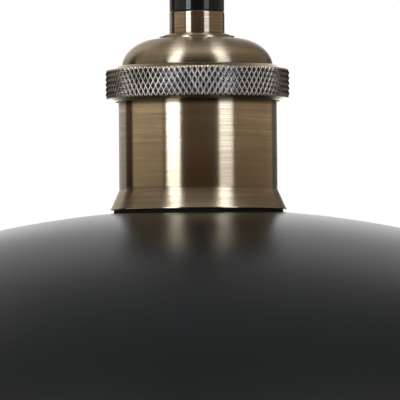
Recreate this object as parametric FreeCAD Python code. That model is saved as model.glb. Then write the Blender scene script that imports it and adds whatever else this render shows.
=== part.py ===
"""Pendant lamp head: a domed metal shade clamped under a brass lampholder, hung by the cord grip on top.

Frame: +Z up. The origin is the centre of the cord entry's mouth, on top of the cord grip, which is the point
that the lamp hangs from, so that everything else lies below it. All sizes are in millimetres.

How it comes apart. The cord grip and the neck collar screw on a hollow threaded nipple that a nut holds in
the dome cap. The knurled union ring turns on the dome cap's flange and pulls the socket sleeve up against it,
with the flange of the insulating barrel between the two. The barrel carries the lamp contacts and stands out
below the sleeve, through the hole in the shade, and the shade ring screws on it from below.
"""

import FreeCAD
import Part

import math
import os

OUT = "parts"

# ---- driving dimensions -------------------------------------------------------------------------
GRIP_H = 16.4           # cord grip
COLLAR_H = 5.55         # neck collar
BOSS_H = 1.15           # raised boss on the dome cap, under the collar
DOME_H = 6.85           # dome cap, from its top to the union ring
RING_H = 8.9            # knurled union ring
SLEEVE_SHOWN = 22.0     # straight sleeve below the ring
FOOT_H = 5.1            # flared foot of the sleeve

CORD_R = 3.6            # cord entry
NECK_R = 6.97           # neck collar
DOME_R = 19.0           # dome cap
SLEEVE_R = 20.0         # socket sleeve
FOOT_R = 22.4           # flared foot
RING_R = 23.0           # union ring over the knurl
SHADE_R = 175.0         # dome of the shade, its half width
SHADE_H = 120.0         # and its height
SHADE_T = 1.0           # sheet metal of the shade

GRIP_R = 6.9            # cord grip
BOSS_R = 9.0            # raised boss on the dome cap
NIPPLE_R = 5.0          # M10 x 1 lamp thread
LAMP_R = 13.35          # E27 screw shell, inside
LAMP_SHELL_T = 0.4
BARREL_R = 19.0         # insulating barrel, over its shade ring thread
RUN = 0.05              # radial clearance of a thread that turns

UNION_PITCH = 1.25      # thread of the union ring
UNION_TURNS = 4
RING_PITCH = 2.5        # thread of the shade ring
RING_TURNS = 6

# ---- levels down the axis, from the cord entry at 0 ------------------------------------------------
COLLAR_TOP = -GRIP_H
BOSS_TOP = COLLAR_TOP - COLLAR_H
DOME_TOP = BOSS_TOP - BOSS_H
RING_TOP = DOME_TOP - DOME_H
RING_BOTTOM = RING_TOP - RING_H
FOOT_TOP = RING_BOTTOM - SLEEVE_SHOWN
SEAT = FOOT_TOP - FOOT_H                # underside of the sleeve's foot

CAP_T = 0.9                             # sheet of the dome cap
LIP_T = 0.75                            # lip of the union ring over the cap's flange
CAP_FLANGE_TOP = RING_TOP - 0.8
CAP_FLANGE_BOTTOM = CAP_FLANGE_TOP - 0.75
BARREL_TOP = CAP_FLANGE_BOTTOM - RUN
SLEEVE_TOP = BARREL_TOP - 1.2           # the barrel's flange lies on the sleeve's rim
FLANGE_R = 20.3
UNION_THREAD_R = 20.6
UNION_THREAD_H = UNION_PITCH * UNION_TURNS

SLEEVE_BORE_R = 19.2
BARREL_BORE_R = 16.4                    # above the ledge that holds the contact block
BARREL_LOWER_BORE_R = 15.5
MOUTH_R = 14.2
BLOCK_BOTTOM = SEAT + 9.0
BLOCK_TOP = BLOCK_BOTTOM + 12.0
BARREL_BOTTOM = SEAT - RING_PITCH * RING_TURNS - 3.0
LIP_H = 2.0                             # inward lip at the mouth of the barrel

GASKET_T = 0.73
GASKET_R = 21.2
SHADE_SEAT = SEAT - GASKET_T            # flat top of the shade, round its hole
SHADE_SEAT_R = 21.5
SHADE_HOLE_R = 19.4
SKIRT_H = 6.0                           # straight skirt under the dome
BEAD_R = 1.8                            # rolled bead round the rim

NIPPLE_TOP = -11.6
NIPPLE_BORE_R = 4.0
NIPPLE_BOTTOM = DOME_TOP - 5.9
NUT_AF = 13.6
NUT_H = 3.0
WASHER_T = 0.7
TAG_T = 0.8

CLAMP_Z = -7.2                          # clamp screw in the side of the cord grip
CLAMP_R = 1.95
CLAMP_BOSS_R = 3.3
CLAMP_BOSS_X = 8.6
SHOE_START = CORD_R + 0.1
SHOE_T = 0.7

CONTACT_PIVOT = (-2.8, BLOCK_BOTTOM + 1.7)


# ---- helpers ------------------------------------------------------------------------------------
def vec(x, y, z):
    return FreeCAD.Vector(x, y, z)


class Outline:
    """A closed outline in the XZ plane, drawn piece by piece: x is the radius and z the level."""

    def __init__(self, r, z):
        self.start = self.at = vec(r, 0, z)
        self.edges = []

    def line(self, r, z):
        end = vec(r, 0, z)
        self.edges.append(Part.makeLine(self.at, end))
        self.at = end
        return self

    def lines(self, *points):
        for r, z in points:
            self.line(r, z)
        return self

    def arc(self, middle, end):
        stop = vec(end[0], 0, end[1])
        self.edges.append(Part.Arc(self.at, vec(middle[0], 0, middle[1]), stop).toShape())
        self.at = stop
        return self

    def ellipse(self, centre, half_r, half_z, start_angle, end_angle):
        """An arc of the ellipse with those half axes. Its angles are in degrees: 0 is outwards, 90 is up."""
        major, minor = vec(half_r, 0, 0), vec(0, 0, half_z)
        if half_z > half_r:     # an ellipse starts from its longer axis, which is then the upright one
            major, minor = minor, -major
            start_angle, end_angle = start_angle - 90, end_angle - 90
        middle = vec(centre[0], 0, centre[1])
        whole = Part.Ellipse(middle + major, middle + minor, middle)
        low, high = sorted((math.radians(start_angle), math.radians(end_angle)))
        edge = Part.ArcOfEllipse(whole, low, high).toShape()
        stop = edge.valueAt(edge.LastParameter if end_angle > start_angle else edge.FirstParameter)
        self.edges.append(edge)
        self.at = stop
        return self

    def face(self):
        if (self.at - self.start).Length > 1e-6:
            self.line(self.start.x, self.start.z)
        return Part.Face(Part.Wire(Part.__sortEdges__(self.edges)))

    def revolved(self):
        return self.face().revolve(vec(0, 0, 0), vec(0, 0, 1), 360)

    def along_y(self, width):
        """The outline as a bar of that width, centred on y = 0."""
        face = self.face()
        face.translate(vec(0, -width / 2, 0))
        return face.extrude(vec(0, width, 0))


def tube(inner, outer, bottom, top):
    outline = Outline(inner, bottom)
    return outline.lines((outer, bottom), (outer, top), (inner, top)).revolved()


def rod(r, base, direction, length):
    return Part.makeCylinder(r, length, vec(*base), vec(*direction))


def box(x, y, z):
    """A box from three (low, high) pairs."""
    return Part.makeBox(x[1] - x[0], y[1] - y[0], z[1] - z[0], vec(x[0], y[0], z[0]))


def ellipse_z(r, centre_z, half_r, half_z):
    return centre_z + half_z * math.sqrt(1 - (r / half_r) ** 2)


def ellipse_angle(r, half_r):
    return math.degrees(math.acos(r / half_r))


def ring_of(cutter, count):
    """Copies of a solid, evenly spaced round the axis."""
    return [cutter.rotated(vec(0, 0, 0), vec(0, 0, 1), 360.0 * k / count) for k in range(count)]


# ---- cord grip and neck --------------------------------------------------------------------------
def cord_grip_body():
    """Moulded grip: a barrel with a bore for the cord, a rounded top and a boss for the clamp screw."""
    edge, shoulder_h, shoulder_r = 0.35, 3.6, 5.0
    thread_r = NIPPLE_R + RUN
    bore_end = NIPPLE_TOP + 0.4
    body = (
        Outline(thread_r, COLLAR_TOP)
        .lines((GRIP_R - edge, COLLAR_TOP), (GRIP_R, COLLAR_TOP + edge), (GRIP_R, -shoulder_h))
        .ellipse((shoulder_r, -shoulder_h), GRIP_R - shoulder_r, shoulder_h, 0, 90)
        .lines((CORD_R, 0), (CORD_R, bore_end), (thread_r, bore_end))
        .revolved()
    )
    boss = rod(CLAMP_BOSS_R, (thread_r, 0, CLAMP_Z), (1, 0, 0), CLAMP_BOSS_X - thread_r)
    hole = rod(CLAMP_R + RUN, (CORD_R / 2, 0, CLAMP_Z), (1, 0, 0), CLAMP_BOSS_X)
    return body.fuse(boss).removeSplitter().cut(hole)


def cord_clamp_shoe():
    """Small pad that the clamp screw pushes against the cord, so that the screw's end doesn't cut it."""
    return rod(CLAMP_R - RUN, (SHOE_START, 0, CLAMP_Z), (1, 0, 0), SHOE_T)


def cord_clamp_screw():
    """Headless M4 screw with a slot."""
    start = SHOE_START + SHOE_T + RUN
    length, slot_w, slot_d = 5.2, 0.7, 1.1
    screw = rod(CLAMP_R, (start, 0, CLAMP_Z), (1, 0, 0), length)
    end = start + length
    slot_z = (CLAMP_Z - slot_w / 2, CLAMP_Z + slot_w / 2)
    slot = box((end - slot_d, end + 1), (-CLAMP_R - 1, CLAMP_R + 1), slot_z)
    return screw.cut(slot)


def neck_collar():
    """Brass coupler between the dome cap's boss and the cord grip."""
    inner, edge = NIPPLE_R + RUN, 0.2
    return (
        Outline(inner, BOSS_TOP)
        .lines((NECK_R - edge, BOSS_TOP), (NECK_R, BOSS_TOP + edge), (NECK_R, COLLAR_TOP - edge))
        .lines((NECK_R - edge, COLLAR_TOP), (inner, COLLAR_TOP))
        .revolved()
    )


def threaded_nipple():
    """Hollow M10 rod that the grip, the collar and the cap's nut are screwed on. The cord runs through it."""
    return tube(NIPPLE_BORE_R, NIPPLE_R, NIPPLE_BOTTOM, NIPPLE_TOP)


# ---- dome cap and what hangs inside it -------------------------------------------------------------
def dome_cap():
    """Pressed brass dome with a raised boss on top and a flange at its foot, which the union ring holds."""
    hole, boss_top_r, shoulder = NIPPLE_R + 0.1, 7.3, 9.6
    half = DOME_R - shoulder
    inner_half = half - CAP_T
    inner_boss_r = BOSS_R - CAP_T
    return (
        Outline(hole, BOSS_TOP)
        .line(boss_top_r, BOSS_TOP)
        .ellipse((boss_top_r, DOME_TOP), BOSS_R - boss_top_r, BOSS_H, 90, 0)
        .line(shoulder, DOME_TOP)
        .ellipse((shoulder, RING_TOP), half, DOME_H, 90, 0)
        .lines((DOME_R, CAP_FLANGE_TOP), (FLANGE_R, CAP_FLANGE_TOP), (FLANGE_R, CAP_FLANGE_BOTTOM))
        .lines((DOME_R - CAP_T, CAP_FLANGE_BOTTOM), (DOME_R - CAP_T, RING_TOP))
        .ellipse((shoulder, RING_TOP), inner_half, DOME_H - CAP_T, 0, 90)
        .lines((inner_boss_r, DOME_TOP - CAP_T), (inner_boss_r, BOSS_TOP - CAP_T), (hole, BOSS_TOP - CAP_T))
        .revolved()
    )


WASHER_TOP = BOSS_TOP - CAP_T
TAG_TOP = WASHER_TOP - WASHER_T
NUT_TOP = TAG_TOP - TAG_T
TAG_RING_R = 7.4
LEG_W, LEG_Y = 4.4, 7.7                 # the earth tag's leg, between the nut and the cap's boss
TAB_W, TAB_END_Y = 6.0, 14.6
TAB_TOP = NUT_TOP - NUT_H - 0.6
EARTH_R, EARTH_Y = 1.7, 11.2            # its screw


def cap_lock_washer():
    """Toothed washer under the cap's top."""
    outer, tooth_count, notch_w, notch_d = 7.6, 12, 1.0, 1.1
    disc = tube(NIPPLE_R + RUN, outer, TAG_TOP, WASHER_TOP)
    notch = box((outer - notch_d, outer + 1), (-notch_w / 2, notch_w / 2), (TAG_TOP - 1, WASHER_TOP + 1))
    return disc.cut(Part.makeCompound(ring_of(notch, tooth_count)))


def earth_tag():
    """Brass tag for the earth wire: a ring on the nipple, a leg beside the nut, and a tab for the screw."""
    ring = tube(NIPPLE_R + RUN, TAG_RING_R, NUT_TOP, TAG_TOP)
    arm = box((-LEG_W / 2, LEG_W / 2), (TAG_RING_R - 1.2, LEG_Y), (NUT_TOP, TAG_TOP))
    leg = box((-LEG_W / 2, LEG_W / 2), (LEG_Y - TAG_T, LEG_Y), (TAB_TOP - TAG_T, TAG_TOP))
    tab = box((-TAB_W / 2, TAB_W / 2), (LEG_Y - TAG_T, TAB_END_Y), (TAB_TOP - TAG_T, TAB_TOP))
    hole = rod(EARTH_R + 0.1, (0, EARTH_Y, TAB_TOP - 2), (0, 0, 1), 4)
    return ring.fuse([arm, leg, tab]).removeSplitter().cut(hole)


def earth_screw():
    """Earth screw, with its slotted head below the tab, and its square nut above: two solids."""
    head_r, head_h, nut_w, nut_h, slot_w, slot_d, proud = 2.9, 1.5, 5.4, 2.0, 0.7, 0.8, 0.4
    tab_bottom = TAB_TOP - TAG_T
    head_bottom = tab_bottom - head_h
    shank = rod(EARTH_R, (0, EARTH_Y, head_bottom), (0, 0, 1), head_h + TAG_T + nut_h + proud)
    head = rod(head_r, (0, EARTH_Y, head_bottom), (0, 0, 1), head_h)
    slot = box((-head_r - 1, head_r + 1), (EARTH_Y - slot_w / 2, EARTH_Y + slot_w / 2),
               (head_bottom - 1, head_bottom + slot_d))
    screw = shank.fuse(head).removeSplitter().cut(slot)
    nut = box((-nut_w / 2, nut_w / 2), (EARTH_Y - nut_w / 2, EARTH_Y + nut_w / 2), (TAB_TOP, TAB_TOP + nut_h))
    nut = nut.cut(rod(EARTH_R + RUN, (0, EARTH_Y, TAB_TOP - 1), (0, 0, 1), nut_h + 2))
    return Part.makeCompound([screw, nut])


def hexagon(across_flats, bottom, height):
    corner = across_flats / math.sqrt(3)
    points = [vec(corner * math.cos(math.radians(60 * k)), corner * math.sin(math.radians(60 * k)), bottom)
              for k in range(7)]
    return Part.Face(Part.makePolygon(points)).extrude(vec(0, 0, height))


def cap_lock_nut():
    """Thin M10 hexagon nut with chamfered corners."""
    bottom, corner = NUT_TOP - NUT_H, NUT_AF / math.sqrt(3)
    chamfer_r, chamfer_h = 0.6, 0.36
    outer = (
        Outline(0, bottom)
        .lines((corner - chamfer_r, bottom), (corner, bottom + chamfer_h), (corner, NUT_TOP), (0, NUT_TOP))
        .revolved()
    )
    bore = rod(NIPPLE_R + 0.02, (0, 0, bottom - 1), (0, 0, 1), NUT_H + 2)
    return hexagon(NUT_AF, bottom, NUT_H).common(outer).cut(bore)


# ---- union ring ----------------------------------------------------------------------------------
def knurled_ring():
    """Union ring: a lip over the cap's flange, a thread on the sleeve, and a knurled band outside."""
    lip_r, thread_r = DOME_R + 0.15, UNION_THREAD_R + RUN
    flat_r, top_r, top_drop, round_drop = 20.6, 22.3, 0.9, 1.7
    arc_middle = (RING_R - 0.2, RING_TOP - top_drop - 0.36)
    knurl_bottom, foot_r, foot_rise, edge = RING_BOTTOM + 1.2, 21.3, 0.3, 0.2
    return (
        Outline(lip_r, RING_TOP)
        .line(flat_r, RING_TOP)
        .line(top_r, RING_TOP - top_drop)
        .arc(arc_middle, (RING_R, RING_TOP - round_drop))
        .lines((RING_R, knurl_bottom), (foot_r, RING_BOTTOM + foot_rise), (thread_r + edge, RING_BOTTOM))
        .lines((thread_r, RING_BOTTOM + edge), (thread_r, RING_TOP - LIP_T), (lip_r, RING_TOP - LIP_T))
        .revolved()
    )


# ---- lampholder ----------------------------------------------------------------------------------
def socket_sleeve():
    """Turned brass sleeve with a flared foot and a threaded band that the union ring hides."""
    edge, chamfer, run_out = 0.35, 0.3, 0.4
    band_bottom = SLEEVE_TOP - UNION_THREAD_H
    return (
        Outline(SLEEVE_BORE_R, SEAT)
        .line(FOOT_R - edge, SEAT)
        .arc((FOOT_R - 0.06, SEAT + 0.12), (FOOT_R - 0.04, SEAT + edge))
        .lines((SLEEVE_R, FOOT_TOP), (SLEEVE_R, band_bottom - run_out), (UNION_THREAD_R, band_bottom))
        .lines((UNION_THREAD_R, SLEEVE_TOP - chamfer), (UNION_THREAD_R - chamfer, SLEEVE_TOP))
        .line(SLEEVE_BORE_R, SLEEVE_TOP)
        .revolved()
    )


def insulating_barrel():
    """Phenolic barrel round the lamp contacts, hung on the sleeve's rim by a flange and threaded below."""
    edge = 0.8
    groove_bottom, groove_top, groove_r = BLOCK_TOP, BLOCK_TOP + 0.9, BARREL_BORE_R + 0.5
    return (
        Outline(MOUTH_R, BARREL_BOTTOM)
        .lines((BARREL_R - edge, BARREL_BOTTOM), (BARREL_R, BARREL_BOTTOM + edge), (BARREL_R, SLEEVE_TOP))
        .lines((FLANGE_R, SLEEVE_TOP), (FLANGE_R, BARREL_TOP), (BARREL_BORE_R, BARREL_TOP))
        .lines((BARREL_BORE_R, groove_top), (groove_r, groove_top), (groove_r, groove_bottom))
        .lines((BARREL_BORE_R, groove_bottom), (BARREL_BORE_R, BLOCK_BOTTOM))
        .lines((BARREL_LOWER_BORE_R, BLOCK_BOTTOM), (BARREL_LOWER_BORE_R, BARREL_BOTTOM + LIP_H))
        .line(MOUTH_R, BARREL_BOTTOM + LIP_H)
        .revolved()
    )


BLOCK_R = BARREL_BORE_R - 0.15
POCKET_R = 6.8
POCKET_H = 3.4
SHELL_TOP_T = 0.5
RIVET_Y = 8.9
RIVET_R = 1.2
RIVET_HEAD_R = 2.0
RIVET_HEAD_H = 0.8
RIVET_SUNK = 1.5
TERMINAL_X = 9.0
TERMINAL_W, TERMINAL_D, TERMINAL_H = 6.0, 8.0, 5.5
TERMINAL_WIRE_R, TERMINAL_SCREW_R = 1.2, 1.5
POST_X = -5.0
THROUGH = 20.0                          # a cutter of this length goes through the whole block


def contact_block():
    """Porcelain block that carries the terminals on top and the screw shell and centre contact below."""
    edge = 0.6
    block = (
        Outline(0, BLOCK_BOTTOM)
        .lines((BLOCK_R, BLOCK_BOTTOM), (BLOCK_R, BLOCK_TOP - edge))
        .lines((BLOCK_R - edge, BLOCK_TOP), (0, BLOCK_TOP))
        .revolved()
    )
    cuts = [rod(POCKET_R, (0, 0, BLOCK_BOTTOM - 1), (0, 0, 1), POCKET_H + 1)]
    for y in (-RIVET_Y, RIVET_Y):
        cuts.append(rod(RIVET_R + RUN, (0, y, BLOCK_BOTTOM - 1), (0, 0, 1), THROUGH))
        cuts.append(rod(RIVET_HEAD_R + 0.4, (0, y, BLOCK_TOP - RIVET_SUNK), (0, 0, 1), THROUGH))
    cuts.append(rod(RIVET_R + RUN, (POST_X, 0, BLOCK_BOTTOM), (0, 0, 1), THROUGH))
    return block.cut(Part.makeCompound(cuts))


def block_retaining_ring():
    """Split spring ring in the barrel's groove, over the block's rim."""
    wire_t, gap_w = 0.8, 5.0
    ring = tube(BLOCK_R - 1.2, BARREL_BORE_R + 0.4, BLOCK_TOP + RUN, BLOCK_TOP + RUN + wire_t)
    gap = box((-gap_w / 2, gap_w / 2), (-THROUGH, 0), (BLOCK_TOP - 1, BLOCK_TOP + 2))
    return ring.cut(gap)


def screw_shell():
    """E27 shell: a plated brass cup, open below and drawn in above its thread to a holed plate."""
    bottom = BARREL_BOTTOM + LIP_H + 0.8
    thread_top, neck_bottom, neck_r, plate_hole = BLOCK_BOTTOM - 3.2, BLOCK_BOTTOM - 2.3, 11.8, 6.4
    plate_bottom = BLOCK_BOTTOM - SHELL_TOP_T
    outer, neck_outer, bend = LAMP_R + LAMP_SHELL_T, neck_r + LAMP_SHELL_T, LAMP_SHELL_T / 2
    shell = (
        Outline(LAMP_R, bottom)
        .lines((outer, bottom), (outer, thread_top + bend), (neck_outer, neck_bottom + bend))
        .lines((neck_outer, BLOCK_BOTTOM), (plate_hole, BLOCK_BOTTOM), (plate_hole, plate_bottom))
        .lines((neck_r, plate_bottom), (neck_r, neck_bottom), (LAMP_R, thread_top))
        .revolved()
    )
    holes = [rod(RIVET_R + RUN, (0, y, BLOCK_BOTTOM - 2), (0, 0, 1), 4) for y in (-RIVET_Y, RIVET_Y)]
    return shell.cut(Part.makeCompound(holes))


def shell_rivets():
    """Two rivets that hold the screw shell's plate to the block."""
    rivets = []
    head_bottom, upper_bottom = BLOCK_BOTTOM - SHELL_TOP_T - RIVET_HEAD_H, BLOCK_TOP - RIVET_SUNK
    for y in (-RIVET_Y, RIVET_Y):
        lower = rod(RIVET_HEAD_R, (0, y, head_bottom), (0, 0, 1), RIVET_HEAD_H)
        shank = rod(RIVET_R, (0, y, head_bottom), (0, 0, 1), upper_bottom + RIVET_HEAD_H / 2 - head_bottom)
        upper = rod(RIVET_HEAD_R, (0, y, upper_bottom), (0, 0, 1), RIVET_HEAD_H)
        rivets.append(shank.fuse([lower, upper]).removeSplitter())
    return Part.makeCompound(rivets)


def terminal(x):
    """Brass terminal block with a side hole for the wire and a hole on top for its screw."""
    w, d = TERMINAL_W, TERMINAL_D
    body = box((x - w / 2, x + w / 2), (-d / 2, d / 2), (BLOCK_TOP, BLOCK_TOP + TERMINAL_H))
    wire = rod(TERMINAL_WIRE_R, (x, -d, BLOCK_TOP + 2.0), (0, 1, 0), 2 * d)
    screw = rod(TERMINAL_SCREW_R, (x, 0, BLOCK_TOP + 1.0), (0, 0, 1), TERMINAL_H)
    return body.cut(Part.makeCompound([wire, screw]))


def shell_terminal():
    return terminal(TERMINAL_X)


def centre_terminal():
    """Terminal of the centre contact, with the strip and post that go down through the block."""
    strip_w, strip_t, foot_w = 4.0, 0.8, 4.4
    strip_x = (TERMINAL_W / 2 - TERMINAL_X, POST_X + 1.6)
    strip = box(strip_x, (-strip_w / 2, strip_w / 2), (BLOCK_TOP, BLOCK_TOP + strip_t))
    post_bottom = BLOCK_BOTTOM + POCKET_H - strip_t
    post = rod(RIVET_R, (POST_X, 0, post_bottom), (0, 0, 1), BLOCK_TOP - post_bottom + strip_t / 2)
    foot_z = (post_bottom - strip_t / 2, post_bottom + strip_t / 2)
    foot = box((POST_X - 1.0, CONTACT_PIVOT[0] - 0.15), (-foot_w / 2, foot_w / 2), foot_z)
    return terminal(-TERMINAL_X).fuse([strip, post, foot]).removeSplitter()


def terminal_screws():
    """The two terminal screws, with slotted heads."""
    screws = []
    head_r, head_h, slot_w, slot_d, shank_h = 2.5, 1.5, 0.6, 0.7, 3.1
    head_bottom = BLOCK_TOP + TERMINAL_H
    slot_z = (head_bottom + head_h - slot_d, head_bottom + head_h + 1)
    for x in (-TERMINAL_X, TERMINAL_X):
        shank = rod(TERMINAL_SCREW_R - RUN, (x, 0, head_bottom - shank_h), (0, 0, 1), shank_h + head_h / 2)
        head = rod(head_r, (x, 0, head_bottom), (0, 0, 1), head_h)
        slot = box((x - head_r - 1, x + head_r + 1), (-slot_w / 2, slot_w / 2), slot_z)
        screws.append(shank.fuse(head).removeSplitter().cut(slot))
    return Part.makeCompound(screws)


def centre_contact():
    """Bronze leaf that the lamp's tip pushes up. It springs about its root, at the centre post's foot."""
    x, z = CONTACT_PIVOT
    t, drop, width = 0.4, 3.8, 5.0
    low = z - drop
    return (
        Outline(x, z)
        .lines((x + 0.5, z), (x + 3.9, low), (x + 4.9, low), (x + 6.1, low + 0.9))
        .lines((x + 5.8, low + 1.2), (x + 4.8, low + t), (x + 4.1, low + t), (x + 0.7, z + t), (x, z + t))
        .along_y(width)
    )


# ---- shade ---------------------------------------------------------------------------------------
SHADE_CENTRE = SHADE_SEAT - SHADE_H * math.sqrt(1 - (SHADE_SEAT_R / SHADE_R) ** 2)
BEAD_Z = SHADE_CENTRE - SKIRT_H - BEAD_R
INNER_R = SHADE_R - SHADE_T
INNER_H = SHADE_H - SHADE_T


def shade_gasket():
    """Black fibre gasket between the sleeve's foot and the shade."""
    return tube(SLEEVE_BORE_R + 0.1, GASKET_R, SHADE_SEAT, SEAT)


def shade():
    """Spun dome: a flat seat round its hole, half an ellipse, a short straight skirt and a rolled bead."""
    seat_bottom = SHADE_SEAT - SHADE_T
    inner_seat_r = INNER_R * math.sqrt(1 - ((seat_bottom - SHADE_CENTRE) / INNER_H) ** 2)
    bead_rise = math.sqrt(BEAD_R ** 2 - (SHADE_T / 2) ** 2)
    return (
        Outline(SHADE_HOLE_R, SHADE_SEAT)
        .line(SHADE_SEAT_R, SHADE_SEAT)
        .ellipse((0, SHADE_CENTRE), SHADE_R, SHADE_H, ellipse_angle(SHADE_SEAT_R, SHADE_R), 0)
        .line(SHADE_R, BEAD_Z + bead_rise)
        .arc((SHADE_R - SHADE_T / 2, BEAD_Z - BEAD_R), (INNER_R, BEAD_Z + bead_rise))
        .line(INNER_R, SHADE_CENTRE)
        .ellipse((0, SHADE_CENTRE), INNER_R, INNER_H, 0, ellipse_angle(inner_seat_r, INNER_R))
        .line(SHADE_HOLE_R, seat_bottom)
        .revolved()
    )


PAINT_T = 0.03
WASHER_TOP_Z = SHADE_SEAT - SHADE_T - PAINT_T
WASHER_FLAT_R = 21.4
WASHER_R = 26.5
SHADE_WASHER_T = 0.8
WASHER_DROP = WASHER_TOP_Z - ellipse_z(WASHER_R, SHADE_CENTRE, INNER_R, INNER_H) + 0.05


def shade_washer():
    """Soft washer inside the shade, which keeps the shade ring off the paint. It follows the dome's slope."""
    top, bottom = WASHER_TOP_Z, WASHER_TOP_Z - SHADE_WASHER_T
    return (
        Outline(SHADE_HOLE_R, top)
        .lines((WASHER_FLAT_R, top), (WASHER_R, top - WASHER_DROP), (WASHER_R, bottom - WASHER_DROP))
        .lines((WASHER_FLAT_R, bottom), (SHADE_HOLE_R, bottom))
        .revolved()
    )


def shade_ring():
    """Phenolic ring nut: a broad flange with grip notches, a hub and a thread on the barrel."""
    top = WASHER_TOP_Z - SHADE_WASHER_T - RUN
    thread_r, flange_r, flange_h, hub_r, height = BARREL_R + RUN, 27.5, 2.8, 22.6, 9.0
    edge, hub_edge, notch_r, notch_count = 0.4, 0.6, 0.9, 36
    slope = WASHER_DROP / (WASHER_R - WASHER_FLAT_R)
    edge_z = top - slope * (flange_r - WASHER_FLAT_R)
    flange_bottom, bottom = top - flange_h, top - height
    ring = (
        Outline(thread_r, top)
        .lines((WASHER_FLAT_R, top), (flange_r - edge, edge_z + edge * slope), (flange_r, edge_z - edge))
        .lines((flange_r, flange_bottom), (hub_r, flange_bottom - edge), (hub_r, bottom + hub_edge))
        .lines((hub_r - hub_edge, bottom), (thread_r, bottom))
        .revolved()
    )
    notch = rod(notch_r, (flange_r + 0.35, 0, flange_bottom - 1), (0, 0, 1), 2 * flange_h)
    return ring.cut(Part.makeCompound(ring_of(notch, notch_count)))


PARTS = [
    cord_grip_body, cord_clamp_shoe, cord_clamp_screw, neck_collar, threaded_nipple,
    dome_cap, cap_lock_washer, earth_tag, earth_screw, cap_lock_nut,
    knurled_ring,
    socket_sleeve, insulating_barrel, contact_block, block_retaining_ring, screw_shell, shell_rivets,
    shell_terminal, centre_terminal, terminal_screws, shade_gasket,
    centre_contact,
    shade, shade_washer,
    shade_ring,
]


def main():
    os.makedirs(OUT, exist_ok=True)
    for make in PARTS:
        shape = make()
        solids = len(shape.Solids)
        good = shape.isValid() and solids > 0 and all(s.Volume > 0 for s in shape.Solids)
        print(f"{make.__name__:22s} solids {solids}  valid {good}  volume {shape.Volume:10.1f} mm3")
        shape.exportStep(os.path.join(OUT, make.__name__ + ".step"))


main()
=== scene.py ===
# %% [markdown]
# # A brass lampholder on a dark dome shade
#
# This lesson dresses a pendant lamp that was already designed as a CAD model. The CAD model says where
# every piece is and how it moves, and this script gives each piece the surface that a maker would give it:
# turned and brushed brass, a rolled knurl, moulded plastic and sprayed enamel.
#
# A surface can be sculpted by hand, built with modifiers or worked out from a formula. Nearly everything on
# a lampholder was made on a lathe, and what a lathe makes has an exact formula, so here each new piece is a
# grid of points that numpy works out at once.

import math

import bpy
import numpy as np
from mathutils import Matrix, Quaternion, Vector


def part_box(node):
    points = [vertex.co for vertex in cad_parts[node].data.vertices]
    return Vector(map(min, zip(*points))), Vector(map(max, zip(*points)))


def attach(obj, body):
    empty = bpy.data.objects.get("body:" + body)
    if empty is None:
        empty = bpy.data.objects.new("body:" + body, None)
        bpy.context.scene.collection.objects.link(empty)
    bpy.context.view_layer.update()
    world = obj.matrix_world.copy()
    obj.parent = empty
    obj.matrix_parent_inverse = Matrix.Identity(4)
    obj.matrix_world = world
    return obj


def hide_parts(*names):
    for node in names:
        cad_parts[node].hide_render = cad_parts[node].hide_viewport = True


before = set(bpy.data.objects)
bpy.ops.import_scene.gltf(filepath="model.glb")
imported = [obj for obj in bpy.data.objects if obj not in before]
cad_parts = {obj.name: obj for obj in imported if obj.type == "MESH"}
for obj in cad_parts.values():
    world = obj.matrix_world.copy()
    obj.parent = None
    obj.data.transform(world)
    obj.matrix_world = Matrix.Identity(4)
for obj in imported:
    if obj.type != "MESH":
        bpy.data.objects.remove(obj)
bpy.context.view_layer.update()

# %% [markdown]
# ## The levels of the lamp
#
# The lamp hangs from the mouth of the cord entry, so that is where height is zero and everything else lies
# below. The heights of the joints between pieces are read from the CAD nodes' boxes. If the design changes,
# the new surfaces move with it. Only sizes that a box can't tell, such as the radius of a rounded edge, are
# written down here.

# %% Heights and radii
mm = 0.001


def bottom(node):
    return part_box(node)[0].z


def top(node):
    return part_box(node)[1].z


def radius(node):
    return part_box(node)[1].y


GRIP_TOP = top("cord_grip_body")
COLLAR_TOP, COLLAR_BOTTOM = top("neck_collar"), bottom("neck_collar")
RING_TOP, RING_BOTTOM = top("knurled_ring"), bottom("knurled_ring")
CAP_BOTTOM = bottom("dome_cap")
SLEEVE_TOP, SEAT = top("socket_sleeve"), bottom("socket_sleeve")
BARREL_TOP, BARREL_BOTTOM = top("insulating_barrel"), bottom("insulating_barrel")
BLOCK_BOTTOM, BLOCK_TOP = bottom("contact_block"), top("contact_block")
SHADE_TOP, SHADE_BOTTOM = top("shade"), bottom("shade")

COLLAR_R = radius("neck_collar")
CAP_R = 19.0 * mm
RING_R = radius("knurled_ring")
SLEEVE_R, SLEEVE_BORE_R = 20.0 * mm, 19.2 * mm
FOOT_R = radius("socket_sleeve")
BARREL_R = 19.0 * mm
print("from the cord entry down to the rim:", round(1000 * (GRIP_TOP - SHADE_BOTTOM), 1), "mm")

# %% [markdown]
# ## Outlines with rounded corners
#
# No real edge is perfectly sharp. The tool that cuts it, or the polishing after it, leaves a small radius,
# and that radius is what catches a line of light. An outline is therefore a list of corners that each have
# their own radius. It could be rounded with Blender's Bevel modifier, but an exact arc keeps the roundness
# under control and puts points only where the outline bends.

# %% An outline from corners
ARC_STEPS = 6
GUARD = 0.12 * mm


def unit(v):
    """v / |v|, row by row, and zero where v is zero."""
    return v / np.maximum(np.linalg.norm(v, axis=-1, keepdims=True), 1e-12)


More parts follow.
